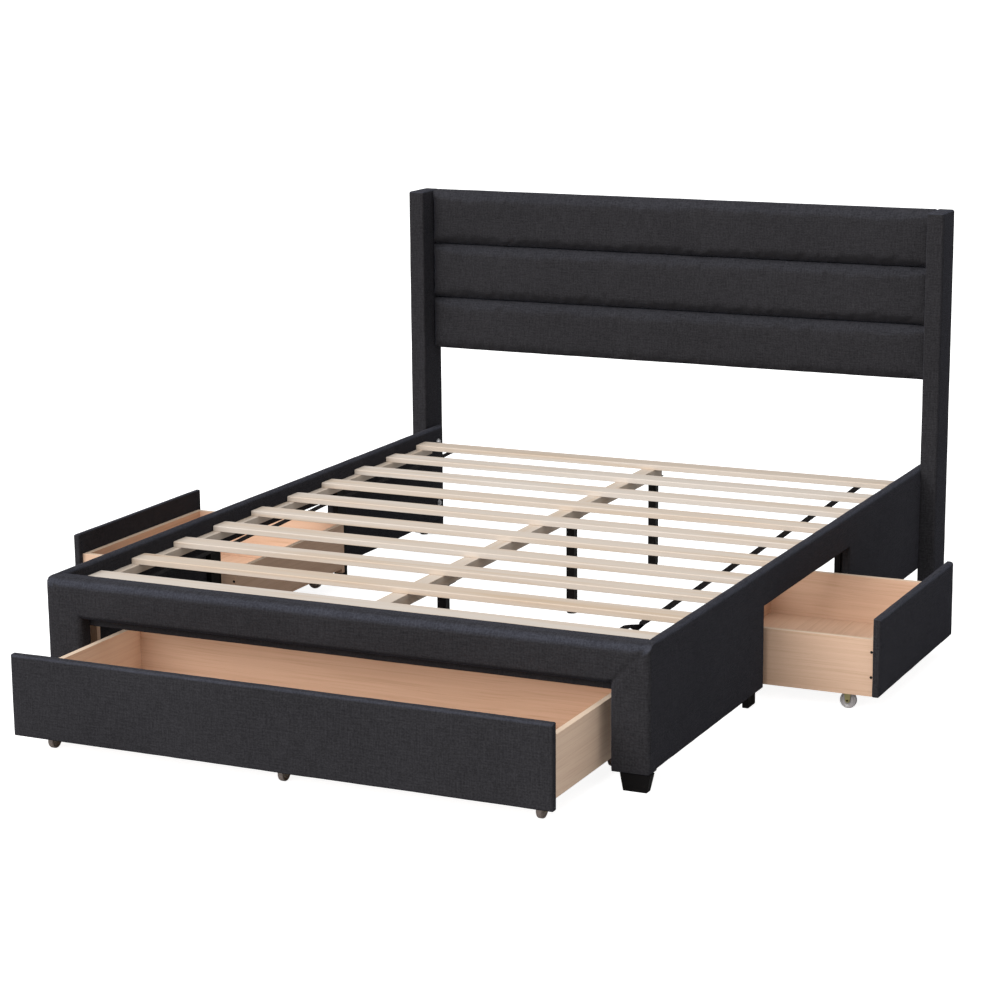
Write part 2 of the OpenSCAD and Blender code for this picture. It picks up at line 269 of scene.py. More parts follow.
def beechLook(name, along, spec, topAt=0.189):
    look = Look(name, Roughness=spec["gloss"], Specular_IOR_Level=0.4)
    a, b, c = alongFirst(look, along)
    z = look.axes()[2]
    nz = look.axes("Normal")[2]
    sway = look.noise(a * 1.8, b * 3, c * 3, 1.0) * 0.02
    bands = look.noise(a * 1.3, (b + sway) * 90, (c + sway) * 90, 3.0, 0.6)
    lines = look.noise(a * 3.5, (b + sway) * 300, (c + sway) * 300, 2.0, 0.5)
    flecks = look.noise(a * 60, b * 620, c * 620, 1.0)
    tone = bands.between(0.36, 0.68) * 0.38 + lines.between(0.48, 0.72) * 0.45
    tone = tone + flecks.between(0.6, 0.8) * 0.28
    colour = look.mix(tone, spec["pale"], spec["dark"])
    taped = (nz > 0.8) * (z > topAt)
    look.feed("Base Color", look.mix(taped * 0.7, colour, spec["edge"]))
    look.feed("Roughness", spec["gloss"] - 0.04 + lines * 0.12)
    look.bump(lines * 0.5 + flecks * 0.5, 0.00012, 0.6)
    return look.material


def plainLook(name, colour, worn, rough, metal=0.0, grain=900.0, depth=0.00008, **fixed):
    # moulded, coated or plated surface: fine grain and slight wear in its tone
    look = Look(name, Metallic=metal, **fixed)
    x, y, z = look.axes()
    fine = look.noise(x * grain, y * grain, z * grain, 2.0)
    broad = look.noise(x * 38, y * 38, z * 38, 4.0, 0.6)
    wear = broad.between(0.55, 0.78)
    look.feed("Base Color", look.mix(wear * 0.6 + fine * 0.2, colour, worn))
    look.feed("Roughness", rough + wear * 0.12 + (fine - 0.5) * 0.12)
    look.bump(fine + broad, depth, 0.6)
    return look.material


def webbingLook(name):
    look = Look(name, Roughness=0.8, Specular_IOR_Level=0.04)
    x, y, z = look.axes()
    ribs = (y * (math.pi / 0.0011)).sine()
    cords = (x * (math.pi / 0.0016)).sine()
    weave = abs(ribs) * 0.6 + abs(cords) * 0.4
    look.feed("Base Color", look.mix(weave, (0.003, 0.003, 0.003), (0.010, 0.009, 0.010)))
    look.bump(weave, 0.0004, 0.8)
    return look.material


def floorLook(name, shade, glow):
    look = Look(name, Roughness=0.95, Specular_IOR_Level=0.0, Emission_Color=(1, 1, 1, 1),
                Emission_Strength=glow)
    look.shader.inputs["Base Color"].default_value = (shade, shade, shade, 1)
    return look.material


linen = linenLook("charcoalLinen", fabric)
channelLinen = linenLook("channelLinen", channelFabric)
pineAcross = pineLook("pineAcross", "x", pine)
pineAlong = pineLook("pineAlong", "y", pine)
beechX = beechLook("beechBoardX", "x", beech)
beechY = beechLook("beechBoardY", "y", beech)
beechSidePaintedLit = beechLook("beechBoardPaintedLit", "y", beechPaintedLit)
beechZ = beechLook("beechUpright", "z", beech, 9.0)
blackBoard = plainLook("blackBoard", (0.0045, 0.0040, 0.0040), (0.010, 0.009, 0.009), 0.6,
                       Specular_IOR_Level=0.12)
blackSteel = plainLook("blackCoatedSteel", (0.0045, 0.0036, 0.0035), (0.012, 0.010, 0.010), 0.5,
                       Specular_IOR_Level=0.15)
blackPlastic = plainLook("blackPlastic", (0.0040, 0.0036, 0.0037), (0.010, 0.009, 0.009), 0.55,
                         Specular_IOR_Level=0.08)
yellowZinc = plainLook("yellowZinc", (0.40, 0.36, 0.17), (0.56, 0.52, 0.33), 0.34, 1.0)
whiteZinc = plainLook("whiteZinc", (0.55, 0.55, 0.56), (0.70, 0.70, 0.71), 0.32, 1.0)
milkyTyre = plainLook("milkyTyre", (0.42, 0.40, 0.40), (0.27, 0.25, 0.25), 0.22, Coat_Weight=0.4)
# Painted shade: a darker, browner copy of the milky tyre for the foot drawer's wheels, in place of the shade
# they sit in.
tyrePaintedShade = plainLook("tyrePaintedShade", (0.205, 0.165, 0.145), (0.115, 0.088, 0.076), 0.26, Coat_Weight=0.3)
greyHub = plainLook("greyHub", (0.24, 0.20, 0.17), (0.34, 0.29, 0.22), 0.4)
webbing = webbingLook("blackWebbing")
floorPaint = floorLook("paleFloor", studio["floor"], studio["floorGlow"])
print("stage: materials made")

# mesh helpers


def meshPiece(name, points, faces, material, body, slot):
    mesh = bpy.data.meshes.new(name)
    mesh.from_pydata([tuple(p) for p in points], [], faces)
    mesh.validate()
    mesh.polygons.foreach_set("use_smooth", [True] * len(mesh.polygons))
    for each in (material if isinstance(material, list) else [material]):
        mesh.materials.append(each)
    piece = bpy.data.objects.new(name, mesh)
    bpy.context.scene.collection.objects.link(piece)
    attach(piece, body)
    return piece


def gridLines(breaks, step):
    # breaks is {position: radius}: close lines beside each, even steps between
    arc = [1 - math.sin(math.radians(t)) for t in (90, 72, 54, 38, 24, 10)] + [1.0]
    stops = sorted(breaks)
    lines = set(stops)
    for a, b in zip(stops, stops[1:]):
        ra, rb = (min(breaks[p], (b - a) * 0.45) for p in (a, b))
        lines.update(a + ra * s for s in arc)
        lines.update(b - rb * s for s in arc)
        free = (b - rb) - (a + ra)
        count = max(1, math.ceil(free / step))
        lines.update(a + ra + free * k / count for k in range(count + 1))
    lines = sorted(lines)
    kept = [lines[0]]
    for p in lines[1:]:
        if p - kept[-1] > 1e-5:
            kept.append(p)
    return np.array(kept)


def distanceTo(pu, pv, u0, v0, u1, v1):
    du, dv = u1 - u0, v1 - v0
    t = np.clip(((pu - u0) * du + (pv - v0) * dv) / (du * du + dv * dv), 0, 1)
    return np.hypot(pu - u0 - t * du, pv - v0 - t * dv)


def padMesh(spec, origin, eu, ev, ew):
    # A flat upholstered board with an outline of straight edges. loop is the outline, each point with
    # the fabric's turning radius at the front and back of the edge that starts there.
    loop, depth, step = spec["loop"], spec["depth"], spec.get("step", 0.012)
    edges = [(*loop[k][:2], *loop[(k + 1) % len(loop)][:2], *loop[k][2:]) for k in range(len(loop))]
    breaksU, breaksV = {}, {}
    for u0, v0, u1, v1, front, back in edges:
        where, at = (breaksU, u0) if abs(u1 - u0) < 1e-9 else (breaksV, v0)
        where[at] = max(where.get(at, 0), front, back)
    for at in spec.get("linesU", []): breaksU.setdefault(at, 0.003)
    for at in spec.get("linesV", []): breaksV.setdefault(at, 0.003)
    breaksU.update(spec.get("reachU", {}))
    us, vs = gridLines(breaksU, step), gridLines(breaksV, step)

    def inside(u, v):
        hit = False
        for u0, v0, u1, v1, _, _ in edges:
            if (v0 > v) != (v1 > v) and u < (u1 - u0) * (v - v0) / (v1 - v0) + u0:
                hit = not hit
        return hit
    cells = {(i, j) for i in range(len(us) - 1) for j in range(len(vs) - 1)
             if inside((us[i] + us[i + 1]) / 2, (vs[j] + vs[j + 1]) / 2)}
    corners = sorted({(i + a, j + b) for i, j in cells for a in (0, 1) for b in (0, 1)})
    index = {c: k for k, c in enumerate(corners)}
    pu = np.array([us[i] for i, j in corners])
    pv = np.array([vs[j] for i, j in corners])
    wFront, wBack = np.zeros(len(pu)), np.zeros(len(pu))
    near = np.full(len(pu), 9.0)
    joint = spec.get("joint")      # an upright edge that runs flush into the next cover
    for u0, v0, u1, v1, front, back in edges:
        d = distanceTo(pu, pv, u0, v0, u1, v1)
        if joint is None or u0 != joint or u1 != joint:
            near = np.minimum(near, d)
        for w, r in ((wFront, front), (wBack, back)):
            turn = np.where(d < r, r - np.sqrt(np.maximum(r * r - (r - d) ** 2, 0)), 0)
            np.maximum(w, turn, out=w)
    rise = 1 - np.exp(-near / spec.get("crownReach", 0.03))
    if joint is not None:
        rise *= 1 - np.exp(-((pu - joint) / 0.12) ** 2)
    wFront -= spec.get("crown", 0) * rise
    wBack -= spec.get("crownBack", 0) * rise
    for u0, v0, u1, v1, side, deep, half in spec.get("seams", []):
        dip = deep * np.exp(-(distanceTo(pu, pv, u0, v0, u1, v1) / half) ** 2)
        if side == "front": wFront += dip
        else: wBack += dip
    # rounded corners of the outline
    ru, rv = pu.copy(), pv.copy()
    radius = spec.get("corner", 0)
    for k in range(len(loop)):
        bu, bv = loop[k][:2]
        au, av = loop[k - 1][:2]
        cu, cv = loop[(k + 1) % len(loop)][:2]
        if radius and bu != joint and (bu - au) * (cv - bv) - (bv - av) * (cu - bu) > 0:
            su = np.sign((au - bu) + (cu - bu))
            sv = np.sign((av - bv) + (cv - bv))
            a, b = (pu - bu) * su, (pv - bv) * sv
            at = (a >= -1e-9) & (b >= -1e-9) & (a < radius) & (b < radius)
            da, db = (radius - a[at]) / radius, (radius - b[at]) / radius
            far = np.hypot(da, db)
            scale = np.where(far > 0, np.maximum(da, db) / np.maximum(far, 1e-9), 1)
            ru[at] = bu + su * (radius - radius * da * scale)
            rv[at] = bv + sv * (radius - radius * db * scale)
    rim = sorted({(i, j) for i, j in corners
                  if any((i - a, j - b) not in cells for a in (0, 1) for b in (0, 1))})
    rows = max(2, math.ceil((depth - 0.004) / 0.008))
    points = [(ru[k], rv[k], wFront[k]) for k in range(len(corners))]
    points += [(ru[k], rv[k], depth - wBack[k]) for k in range(len(corners))]
    ring = {}
    for c in rim:
        k = index[c]
        low, high = wFront[k], depth - wBack[k]
        ring[c] = [k]
        for row in range(1, rows):
            ring[c].append(len(points))
            points.append((ru[k], rv[k], low + (high - low) * row / rows))
        ring[c].append(k + len(corners))
    faces = []
    n = len(corners)
    diagonal = spec.get("diagonal")    # quads fold along one diagonal left of this u, the other right of it
    for i, j in sorted(cells):
        a, b, c, d = (index[p] for p in ((i, j), (i + 1, j), (i + 1, j + 1), (i, j + 1)))
        front = [d, c, b, a]
        if diagonal is not None and us[i] > diagonal:
            front = [c, b, a, d]
        faces.append(front)
        faces.append([a + n, b + n, c + n, d + n])
        sides = (((i, j), (i + 1, j), (i, j - 1)), ((i + 1, j), (i + 1, j + 1), (i + 1, j)),
                 ((i + 1, j + 1), (i, j + 1), (i, j + 1)), ((i, j + 1), (i, j), (i - 1, j)))
        for p, q, beyond in sides:
            if beyond not in cells:
                for row in range(rows):
                    faces.append([ring[p][row], ring[q][row], ring[q][row + 1], ring[p][row + 1]])
    eu, ev, ew, origin = (Vector(v) for v in (eu, ev, ew, origin))
    if eu.cross(ev).dot(ew) < 0:
        faces = [f[::-1] if diagonal is None else [f[2], f[1], f[0], f[3]] for f in faces]
    wave = spec.get("wave", 0.0006)
    placed = []
    for u, v, w in points:
        p = origin + eu * u + ev * v + ew * w
        p += noise.noise_vector(p * 9.0) * wave + noise.noise_vector(p * 31.0) * (wave * 0.45)
        placed.append(p)
    return placed, faces, points


def upholstered(name, spec, origin, eu, ev, ew, body, *stands):
    points, faces, flat = padMesh(spec, origin, eu, ev, ew)
    piece = meshPiece(name, points, faces, spec.get("cloth", linen), body, "charcoal_fabric")
    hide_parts(*stands)
    return piece, flat


def inflate(jobs, pressure, frames):
    # swells the free points of each piece with cloth pressure, then caps how far they moved
    scene = bpy.context.scene
    for piece, free, cap in jobs:
        group = piece.vertex_groups.new(name="held")
        group.add([k for k, loose in enumerate(free) if not loose], 1.0, "REPLACE")
        cloth = piece.modifiers.new("swell", "CLOTH")
        set_ = cloth.settings
        set_.quality, set_.mass = 5, 0.25
        set_.tension_stiffness = set_.compression_stiffness = 12
        set_.shear_stiffness, set_.bending_stiffness = 6, 0.4
        set_.use_pressure, set_.uniform_pressure_force = True, pressure
        set_.vertex_group_mass = "held"
        set_.shrink_min = -0.02
        set_.effector_weights.gravity = 0
        cloth.collision_settings.use_collision = False
        cloth.point_cache.frame_start, cloth.point_cache.frame_end = 1, frames
    for step in range(1, frames + 1):
        scene.frame_set(step)
    reach = bpy.context.evaluated_depsgraph_get()
    for piece, free, cap in jobs:
        rest = np.array([v.co for v in piece.data.vertices])
        swollen = piece.evaluated_get(reach).to_mesh()
        moved = np.array([v.co for v in swollen.vertices]) - rest
        far = np.linalg.norm(moved, axis=1)
        print("stage: swelled", piece.name, "most", round(float(far.max()) * 1000, 1), "mm")
        scale = np.where(far > 0, cap * np.tanh(far / cap) / np.maximum(far, 1e-9), 0)
        piece.modifiers.remove(piece.modifiers["swell"])
        piece.vertex_groups.clear()
        piece.data.vertices.foreach_set("co", (rest + moved * scale[:, None]).ravel().astype(np.float32))
        piece.data.update()
    scene.frame_set(1)


def sweep(path, outline):
    # outline is (side, up) pairs; path points come with their side and up directions
    points, faces = [], []
    n = len(outline)
    for p, side, up in path:
        points += [p + side * a + up * b for a, b in outline]
    for k in range(len(path) - 1):
        for m in range(n):
            q = (m + 1) % n
            faces.append([k * n + m, k * n + q, (k + 1) * n + q, (k + 1) * n + m])
    faces.append(list(range(n))[::-1])
    faces.append([(len(path) - 1) * n + m for m in range(n)])
    return points, faces


def lathe(profile, centre, axis, turns=48):
    # profile is a closed list of (radius, along); returns points, faces and each face's profile index
    axis = Vector(axis).normalized()
    side = axis.orthogonal().normalized()
    other = axis.cross(side)
    points, faces, bands = [], [], []
    n = len(profile)
    for k in range(turns):
        t = 2 * math.pi * k / turns
        out = side * math.cos(t) + other * math.sin(t)
        points += [Vector(centre) + out * r + axis * h for r, h in profile]
    for k in range(turns):
        q = (k + 1) % turns
        for m in range(n):
            faces.append([k * n + m, q * n + m, q * n + (m + 1) % n, k * n + (m + 1) % n])
            bands.append(m)
    return points, faces, bands


def joined(parts):
    points, faces = [], []
    for p, f in parts:
        base = len(points)
        points += p
        faces += [[k + base for k in face] for face in f]
    return points, faces


def wireStaple(centre, along, out, width=0.010, rise=0.0006, gauge=0.0005):
    centre, along, out = Vector(centre), Vector(along), Vector(out)
    half = along * (width / 2)
    spine = [centre - half - out * 0.001, centre - half + out * rise, centre + half + out * rise,
             centre + half - out * 0.001]
    side = along.cross(out)
    path = [(spine[0], side, along), (spine[1], side, (along - out).normalized()),
            (spine[2], side, (-along - out).normalized()), (spine[3], side, -along)]
    ring = [(gauge * math.cos(t), gauge * math.sin(t)) for t in [k * math.pi / 3 for k in range(6)]]
    return sweep(path, ring)


def screwHead(centre, axis, radius=0.0036, rise=0.0014):
    # domed head with a crossed recess
    axis = Vector(axis).normalized()
    side = axis.orthogonal().normalized()
    other = axis.cross(side)
    rings = [(1.0, 0.0), (0.96, 0.45), (0.8, 0.8), (0.55, 0.95), (0.42, 1.0), (0.18, 1.0)]
    turns = 24
    points, faces = [], []
    for share, high in rings:
        for k in range(turns):
            t = 2 * math.pi * k / turns
            a, b = share * math.cos(t), share * math.sin(t)
            deep = 0.75 if min(abs(a), abs(b)) < 0.13 and max(abs(a), abs(b)) < 0.56 else 0
            points.append(Vector(centre) + (side * a + other * b) * radius + axis * rise * (high - deep))
    for r in range(len(rings) - 1):
        for k in range(turns):
            q = (k + 1) % turns
            faces.append([r * turns + k, r * turns + q, (r + 1) * turns + q, (r + 1) * turns + k])
    points.append(Vector(centre) + axis * rise * 0.25)
    last = (len(rings) - 1) * turns
    faces += [[last + k, last + (k + 1) % turns, len(points) - 1] for k in range(turns)]
    faces.append(list(range(turns))[::-1])
    return points, faces


def cadLook(names, material, round_=0.0008):
    # a carried-over solid: its own material and slightly broken edges
    for name in names:
        solid = nodes[name]
        if not solid.material_slots:
            solid.data.materials.append(material)
        for each in solid.material_slots:
            each.material = material
        if round_:
            weld = solid.modifiers.new("weld", "WELD")
            weld.merge_threshold = 0.00002
            edge = solid.modifiers.new("brokenEdge", "BEVEL")
            edge.width, edge.segments, edge.limit_method = round_, 2, "ANGLE"
            edge.angle_limit = math.radians(50)


# headboard

channel = {"seamRadius": 0.017, "topRadius": 0.022, "endRadius": 0.012, "lowRadius": 0.009, "corner": 0.004,
           "hang": 0.003, "gap": 0.0015, "step": 0.008, "wave": 0.0007,
           "swell": 0.006, "pressure": 4.0, "frames": 20, "freeDepth": 0.6}
wingPad = {"vertical": 0.0045, "top": 0.006, "corner": 0.006, "crown": 0.0022, "seamIn": 0.004,
           "seamDeep": 0.0012, "seamHalf": 0.0011, "foot": 0.004, "step": 0.014}
boardPad = {"hem": 0.026, "edge": 0.006, "corner": 0.006, "seamDeep": 0.0012, "seamHalf": 0.002,
            "step": 0.014, "wave": 0.0004, "stapleEvery": 0.055}
sides = (("left", 1), ("right", -1))     # each side of the bed, and which way is inward


def makeHeadboard():
    jobs = []
    gap, end = channel["gap"], channel["endRadius"]
    for name in ("bottom", "middle", "top"):
        low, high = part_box("headboard_channel_" + name)
        low.x, high.x = low.x + gap, high.x - gap
        low.z += gap if name != "bottom" else -channel["hang"]
        high.z -= gap if name != "top" else 0
        under = channel["lowRadius"] if name == "bottom" else channel["seamRadius"]
        over, overBack = (channel["topRadius"], 0.004) if name == "top" else (channel["seamRadius"], 0.002)
        spec = {"depth": high.y - low.y, "step": channel["step"], "corner": channel["corner"],
                "wave": channel["wave"], "crown": 0.001, "fill": 0.7,
                "cloth": channelLinen,
                "loop": [(low.x, low.z, under, 0.002), (high.x, low.z, end, 0.002),
                         (high.x, high.z, over, overBack), (low.x, high.z, end, 0.002)]}
        piece, flat = upholstered("headboardChannel_" + name, spec, (0, low.y, 0), (1, 0, 0), (0, 0, 1),
                                  (0, 1, 0), "bed_frame", "headboard_channel_" + name)
        behind = channel["freeDepth"] * spec["depth"]
        free = [w < behind and min(u - low.x, high.x - u, v - low.z, high.z - v) > 0.0005 for u, v, w in flat]
        jobs.append((piece, free, channel["swell"]))
    inflate(jobs, channel["pressure"], channel["frames"])

    for name, inward in sides:
        low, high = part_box("wing_" + name)
        outer = low.x if inward > 0 else high.x
        side, top = wingPad["vertical"], wingPad["top"]
        line = low.y + wingPad["seamIn"] + side
        spec = {"depth": high.x - low.x, "corner": wingPad["corner"], "crown": wingPad["crown"],
                "crownBack": wingPad["crown"], "linesU": [line], "step": wingPad["step"],
                "seams": [(line, low.z, line, high.z, "front", wingPad["seamDeep"], wingPad["seamHalf"])],
                "loop": [(low.y, low.z, wingPad["foot"], wingPad["foot"]), (high.y, low.z, side, side),
                         (high.y, high.z, top, top), (low.y, high.z, side, side)]}
        upholstered("wingCover_" + name, spec, (outer, 0, 0), (0, 1, 0), (0, 0, 1), (inward, 0, 0),
                    "bed_frame", "wing_" + name)

    low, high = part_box("headboard_board")
    hem, edge = boardPad["hem"], boardPad["edge"]
    x0, x1, z0, z1 = low.x + hem, high.x - hem, low.z + hem, high.z - hem
    hemLines = [(x0, z0, x1, z0), (x0, z1, x1, z1), (x0, z0, x0, z1), (x1, z0, x1, z1)]
    spec = {"depth": high.y - low.y, "corner": boardPad["corner"], "step": boardPad["step"],
            "wave": boardPad["wave"], "linesU": [x0, x1], "linesV": [z0, z1],
            "seams": [(*line, "back", boardPad["seamDeep"], boardPad["seamHalf"]) for line in hemLines],
            "loop": [(low.x, low.z, 0.002, edge), (high.x, low.z, 0.002, edge),
                     (high.x, high.z, 0.003, edge), (low.x, high.z, 0.002, edge)]}
    upholstered("headboardBack", spec, (0, low.y, 0), (1, 0, 0), (0, 0, 1), (0, 1, 0),
                "bed_frame", "headboard_board")
    parts = []
    inset = hem * 0.55
    every = boardPad["stapleEvery"]
    for k in range(int((high.x - low.x - 0.08) / every) + 1):
        x = low.x + 0.04 + every * k
        for z in (low.z + inset, high.z - inset):
            parts.append(wireStaple((x, high.y, z), (1, 0, 0), (0, 1, 0)))
    for k in range(int((high.z - low.z - 0.1) / every) + 1):
        z = low.z + 0.05 + every * k
        for x in (low.x + inset, high.x - inset):
            parts.append(wireStaple((x, high.y, z), (0, 0, 1), (0, 1, 0)))
    meshPiece("headboardStaples", *joined(parts), whiteZinc, "bed_frame", "zinc_steel")
    print("stage: headboard")


# footboard and side rails

footPad = {"side": 0.010, "crest": 0.026, "opening": 0.014, "bottom": 0.003, "corner": 0.0045, "crown": 0.003,
           "openingHalf": 0.702, "openingTop": 0.246, "seamDeep": 0.0035, "seamHalf": 0.005, "seamIn": 0.004,
           "front": 0.042, "barBottom": 0.221, "pocketHalf": 0.776, "reach": 0.018, "step": 0.0065}
railPad = {"top": 0.011, "bottom": 0.004, "end": 0.0015, "opening": 0.006, "corner": 0.0015, "crown": 0.0026,
           "openingMid": -0.304, "openingHalf": 0.340, "openingTop": 0.254, "step": 0.013}


def crispEdges(piece):
    piece.data.set_sharp_from_angle(angle=math.radians(50))


def makeFootboard():
    low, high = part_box("footboard")
    half, top = footPad["openingHalf"], footPad["openingTop"]
    side, crest, rim, base = (footPad[k] for k in ("side", "crest", "opening", "bottom"))
    front, reach, inset = footPad["front"], footPad["reach"], footPad["seamIn"]
    seam = ("front", footPad["seamDeep"], footPad["seamHalf"])
    spec = {"depth": front, "corner": footPad["corner"], "crown": footPad["crown"], "step": footPad["step"],
            "diagonal": 0.0, "reachU": {low.x: reach, high.x: reach},
            "seams": [(low.x + inset, high.z - inset, -half, top, *seam),
                      (high.x - inset, high.z - inset, half, top, *seam)],
            "loop": [(low.x, low.z, base, 0), (-half, low.z, rim, 0.003), (-half, top, rim, 0.003),
                     (half, top, rim, 0.003), (half, low.z, base, 0), (high.x, low.z, side, 0),
                     (high.x, high.z, crest, 0), (low.x, high.z, side, 0)]}
    cover, _ = upholstered("footboardCover", spec, (0, low.y, 0), (1, 0, 0), (0, 0, 1), (0, 1, 0),
                           "bed_frame", "footboard")
    crispEdges(cover)
    inner, bar = footPad["pocketHalf"], footPad["barBottom"]
    spec = {"depth": high.y - low.y - front, "step": railPad["step"], "crownBack": 0.001,
            "loop": [(-inner, bar, 0.004, 0.004), (inner, bar, 0, 0.001), (inner, high.z, 0, 0.018),
                     (-inner, high.z, 0, 0.001)]}
    cover, _ = upholstered("footboardBarCover", spec, (0, low.y + front, 0), (1, 0, 0), (0, 0, 1), (0, 1, 0),
                           "bed_frame", "footboard")
    crispEdges(cover)
    print("stage: footboard")


def makeRails():
    half, mid, top = railPad["openingHalf"], railPad["openingMid"], railPad["openingTop"]
    rim, base, end, crest = railPad["opening"], railPad["bottom"], railPad["end"], railPad["top"]
    lap = 0.0003
    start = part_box("footboard")[0].y + footPad["front"] - lap     # the cover runs on to the front board
    for name, inward in sides:
        low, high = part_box("side_rail_" + name)
        outer = low.x if inward > 0 else high.x
        spec = {"depth": high.x - low.x, "corner": railPad["corner"], "crown": railPad["crown"],
                "crownBack": 0.0008, "step": railPad["step"], "joint": start,
                "loop": [(start, low.z, base, base), (mid - half, low.z, rim, rim),
                         (mid - half, top, rim, rim), (mid + half, top, rim, rim),
                         (mid + half, low.z, base, base), (high.y, low.z, end, end),
                         (high.y, high.z, crest, crest), (start, high.z, 0, 0)]}
        cover, _ = upholstered("railCover_" + name, spec, (outer, 0, 0), (0, 1, 0), (0, 0, 1),
                               (inward, 0, 0), "bed_frame", "side_rail_" + name)
        crispEdges(cover)
    print("stage: side rails")


# drawers

frontPad = {"front": 0.004, "top": 0.009, "back": 0.003, "corner": 0.0035, "crown": 0.0024}
drawerScrew = {"heights": (0.158, 0.094), "fromEnd": 0.0075, "radius": 0.0036}
wheelShape = {"rim": 0.021, "half": 0.007, "bore": 0.00305, "cheek": 0.0115,
              "rivet": 0.0026, "rivetRise": 0.0008}


def makeDrawerFront(drawer):
    node = drawer + "_front"
    low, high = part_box(node)
    wide = high - low
    front, back = frontPad["front"], frontPad["back"]
    spec = {"corner": frontPad["corner"], "crown": frontPad["crown"], "step": 0.012}
    if drawer == "foot_drawer":
        u0, u1, origin, eu, ew = low.x, high.x, (0, low.y, 0), (1, 0, 0), (0, 1, 0)
        spec["depth"] = wide.y
    else:
        right = drawer == "right_drawer"
        u0, u1, eu = low.y, high.y, (0, 1, 0)
        origin, ew = ((high.x, 0, 0), (-1, 0, 0)) if right else ((low.x, 0, 0), (1, 0, 0))
        spec["depth"] = wide.x
    spec["loop"] = [(u0, low.z, front, back), (u1, low.z, front, back),
                    (u1, high.z, frontPad["top"], back), (u0, high.z, front, back)]
    upholstered(drawer + "FrontCover", spec, origin, eu, (0, 0, 1), ew, drawer, node)


def makeWheels(drawer):
    rim, half, bore = wheelShape["rim"], wheelShape["half"], wheelShape["bore"]
    outward = [(bore, -half), (0.0062, -half), (0.0066, -half + 0.0006), (0.0068, -0.004),
               (rim - 0.0048, -0.0036), (rim - 0.004, -0.0058), (rim - 0.0036, -half + 0.0004),
               (rim - 0.0024, -half), (rim - 0.001, -half + 0.0008), (rim - 0.0002, -half + 0.0024),
               (rim, -0.003)]
    profile = outward + [(r, -h) for r, h in reversed(outward)]
    hubBands = {0, 1, 2, 17, 18, 19, 20, 21}
    alongX = drawer == "foot_drawer"
    rivets = []
    for row in ("front", "rear"):
        node = drawer + "_wheels_" + row
        low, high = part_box(node)
        middle = (low + high) / 2
        if alongX:
            spots = [(x, middle.y, middle.z) for x in (low.x + half, 0.0, high.x - half)]
        else:
            spots = [(middle.x, y, middle.z) for y in (low.y + half, high.y - half)]
        points, faces, marks = [], [], []
        for spot in spots:
            p, f, bands = lathe(profile, spot, (1, 0, 0) if alongX else (0, 1, 0))
            base = len(points)
            points += p
            faces += [[k + base for k in face] for face in f]
            marks += [1 if b in hubBands else 0 for b in bands]
            for way in (-1, 1):
                axis = Vector((way, 0, 0) if alongX else (0, way, 0))
                rivets.append(screwHead(Vector(spot) + axis * wheelShape["cheek"], axis,
                                        wheelShape["rivet"], wheelShape["rivetRise"]))
        # Painted shade: the foot drawer's wheels get the darker copy of the tyre.
        tyre = tyrePaintedShade if drawer == "foot_drawer" else milkyTyre
        wheels = meshPiece(drawer + "Wheels_" + row, points, faces, [tyre, greyHub], node,
                           "wheel_plastic")
        wheels.data.polygons.foreach_set("material_index", marks)
        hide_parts(node)
    meshPiece(drawer + "Rivets", *joined(rivets), blackSteel, drawer, "black_steel")


def makeDrawers():
    for drawer, boards in (("foot_drawer", ("side_left", "side_right")),
                           ("left_drawer", ("side_foot_end", "side_head_end")),
                           ("right_drawer", ("side_foot_end", "side_head_end"))):
        makeDrawerFront(drawer)
        makeWheels(drawer)
        # Painted light: the foot drawer's sides use the lighter copy of the beech.
        wide, deep = (beechX, beechSidePaintedLit) if drawer == "foot_drawer" else (beechY, beechX)
        cadLook([drawer + "_box_front", drawer + "_back", drawer + "_bottom"], wide)
        cadLook([drawer + "_" + b for b in boards], deep)
        cadLook([drawer + "_casters"], yellowZinc, 0.0004)
        parts = []
        inset = drawerScrew["fromEnd"]
        for board in boards:
            low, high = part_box(drawer + "_" + board)
            for height in drawerScrew["heights"]:
                for end in ("front", "back"):
                    if drawer == "foot_drawer":
                        y = low.y + inset if end == "front" else high.y - inset
                        x, way = (low.x, -1) if board == "side_left" else (high.x, 1)
                        out = (way, 0, 0)
                    else:
                        near = (drawer == "left_drawer") == (end == "front")
                        x = low.x + inset if near else high.x - inset
                        y, way = (low.y, -1) if board == "side_foot_end" else (high.y, 1)
                        out = (0, way, 0)
                    parts.append(screwHead((x, y, height), out, drawerScrew["radius"]))
        meshPiece(drawer + "Screws", *joined(parts), blackSteel, drawer, "black_steel")
    print("stage: drawers")


# slat deck

strap = {"width": 0.022, "thick": 0.0013, "sag": 0.0022, "left": -0.658, "right": 0.650,
         "stepIn": 0.024, "stepEnd": 0.024, "stepLong": 0.034,      # before the second slat
         "twistFrom": 0.078, "twistLong": 0.050,                    # behind the first slat
         "staple": 0.011, "stapleRise": 0.0003, "stapleApart": 0.016, "air": 0.0001}


def eased(share):
    # 0 to 1 with a smooth start and end
    share = min(1, max(0, share))
    return share * share * (3 - 2 * share)


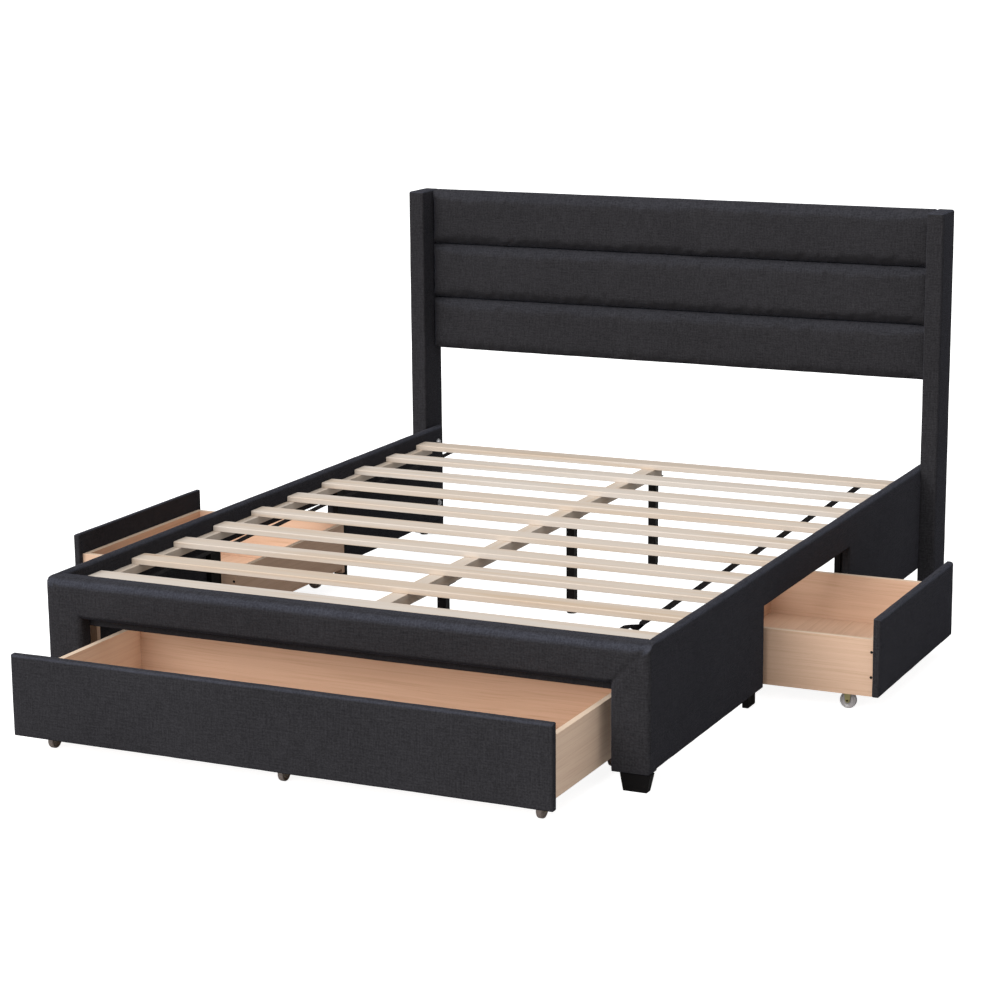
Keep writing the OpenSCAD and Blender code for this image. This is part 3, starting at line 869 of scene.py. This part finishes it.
def makeDeck():
    slats = ["slat_%d" % k for k in range(1, 11)]
    cadLook(slats, pineAcross, 0)
    cadLook(["ledger_left", "ledger_right", "centre_beam"], pineAlong, 0.0012)
    cadLook(["beam_hanger", "centre_leg_front", "centre_leg_middle", "centre_leg_rear"], blackSteel, 0.0008)
    cadLook(["guide_posts_left", "guide_posts_right"], blackBoard, 0.0025)
    cadLook(["corner_blocks"], beechZ, 0.0010)
    cadLook(["corner_feet"], blackPlastic, 0.0015)
    cadLook(["floor_glides"], blackPlastic, 0.0010)
    cadLook(["rail_bolts"], whiteZinc, 0.0004)

    boxes = [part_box(s) for s in slats]
    under = boxes[0][0].z
    firstEnd, secondStart = boxes[0][1].y, boxes[1][0].y
    w, t = strap["width"] / 2, strap["thick"] / 2
    outline = [(-w, -t * 0.4), (-w + t, -t), (w - t, -t), (w, -t * 0.4),
               (w, t * 0.4), (w - t, t), (-w + t, t), (-w, t * 0.4)]
    webs, staples = [], []
    for side in (-1, 1):
        middle = strap["left"] if side < 0 else strap["right"]
        stations = []
        for k, (low, high) in enumerate(boxes):
            stations += [(low.y + (high.y - low.y) * s / 4, 0.0) for s in range(5)]
            if k < len(boxes) - 1:
                gap = boxes[k + 1][0].y - high.y
                fine = 30 if k == 0 else 14
                stations += [(high.y + gap * s / fine, math.sin(math.pi * s / fine) ** 2)
                             for s in range(1, fine)]
        path = []
        for y, droop in stations:
            inward, spin = 0.0, 0.0
            if side > 0:
                inward = strap["stepIn"] * eased((secondStart - strap["stepEnd"] - y) / strap["stepLong"])
                spin = math.pi * eased((y - firstEnd - strap["twistFrom"]) / strap["twistLong"])
            across = Vector((math.cos(spin), 0, -math.sin(spin)))
            upward = Vector((math.sin(spin), 0, math.cos(spin)))
            drop = t + strap["air"] + droop * strap["sag"] + (w - t) * math.sin(spin)
            path.append((Vector((middle - inward, y, under - drop)), across, upward))
        webs.append(sweep(path, outline))
        for low, high in boxes:
            y = (low.y + high.y) / 2
            inward = strap["stepIn"] if side > 0 and y < secondStart - 0.06 else 0
            for shift in (-strap["stapleApart"], strap["stapleApart"]):
                staples.append(wireStaple((middle - inward, y + shift, under - 2 * t - strap["air"]),
                                          (1, 0, 0), (0, 0, -1), strap["staple"], strap["stapleRise"]))
    webs = meshPiece("slatWebbing", *joined(webs), webbing, "bed_frame", "webbing")
    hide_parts("slat_straps")
    meshPiece("strapStaples", *joined(staples), whiteZinc, "bed_frame", "zinc_steel")
    print("stage: slat deck")


def makeFloor():
    half = studio["floorSize"] / 2
    mesh = bpy.data.meshes.new("floor")
    corners = [(-half, -half, 0), (half, -half, 0), (half, half, 0), (-half, half, 0)]
    mesh.from_pydata(corners, [], [(0, 1, 2, 3)])
    mesh.materials.append(floorPaint)
    ground = bpy.data.objects.new("floor", mesh)
    ground.location.z = -0.0006
    bpy.context.scene.collection.objects.link(ground)
    lit = bpy.data.collections.new("litByFloor")     # the floor's glow lights nothing but the floor
    lit.objects.link(ground)
    ground.light_linking.receiver_collection = lit


makeHeadboard()
makeFootboard()
makeRails()
makeDrawers()
makeDeck()
makeFloor()

print("stage: done")
